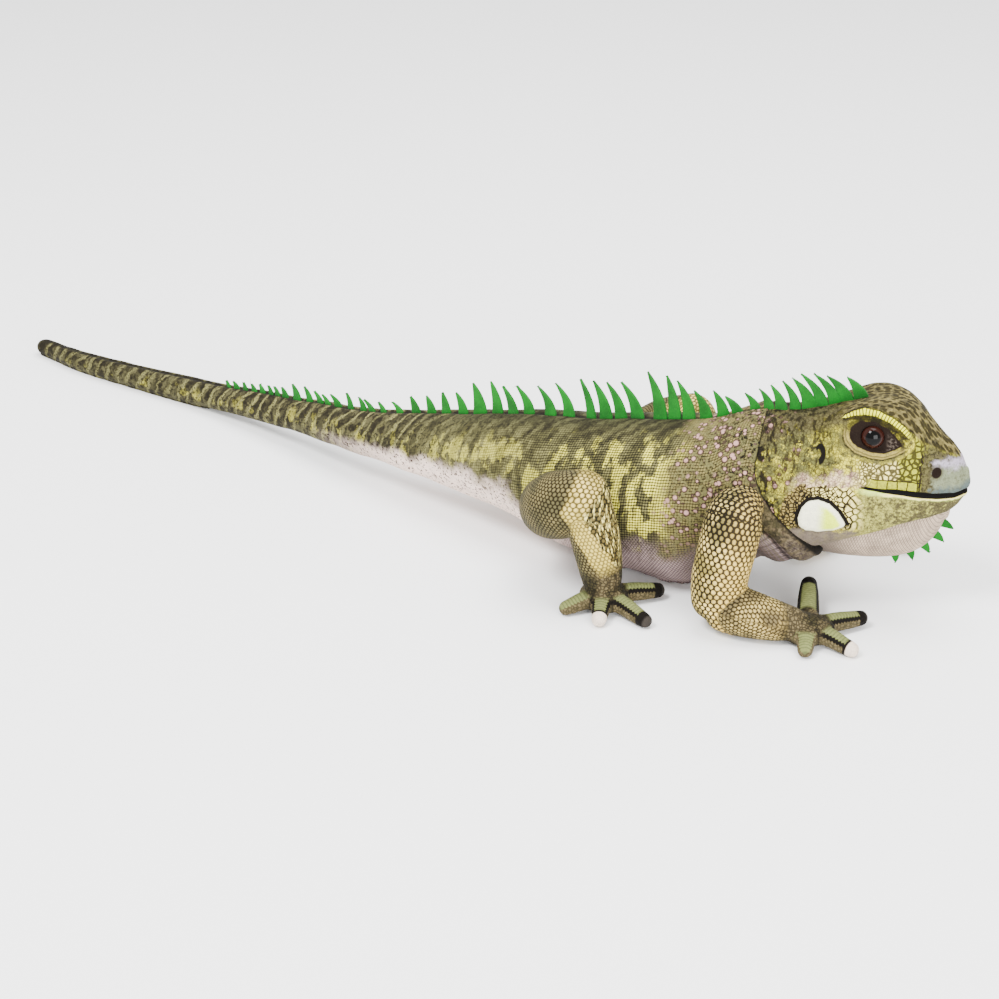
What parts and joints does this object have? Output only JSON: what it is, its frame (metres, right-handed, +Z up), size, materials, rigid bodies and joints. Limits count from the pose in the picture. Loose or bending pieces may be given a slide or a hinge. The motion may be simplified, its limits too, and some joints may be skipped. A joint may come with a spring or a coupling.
{
  "type": "stuffed toy iguana",
  "caption": "Stuffed plush toy iguana lying on its belly with its head a little turned, a felt crest from nape to tail, splayed sewn toes and a long curved tail.",
  "frame": {"origin": "middle of the belly's flat, on the floor", "axes": "+X towards the head, +Y to the animal's left, +Z up"},
  "size_m": [0.8608, 0.2779, 0.1621],
  "materials": {
    "hide": "short-pile printed plush, olive with dark bars",
    "head": "short-pile printed plush, olive and yellow scales",
    "throat": "short-pile printed plush, pinkish grey net",
    "legs": "short-pile printed plush, cream scales outlined dark",
    "hands_feet": "short-pile printed plush, dark olive with stitched edges",
    "eyes": "glossy safety eye, dark brown with a black pupil"
  },
  "bodies": {
    "root": {"eye_left": "eyes", "eye_right": "eyes", "foot_left": "hands_feet", "foot_right": "hands_feet", "forearm_left": "legs", "forearm_right": "legs", "hand_left": "hands_feet", "hand_right": "hands_feet", "head": "head", "neck": "hide", "shin_left": "legs", "shin_right": "legs", "tail_1": "hide", "tail_2": "hide", "tail_3": "hide", "tail_4": "hide", "thigh_left": "legs", "thigh_right": "legs", "throat": "throat", "trunk": "hide", "upper_arm_left": "legs", "upper_arm_right": "legs"}
  },
  "joints": []
}
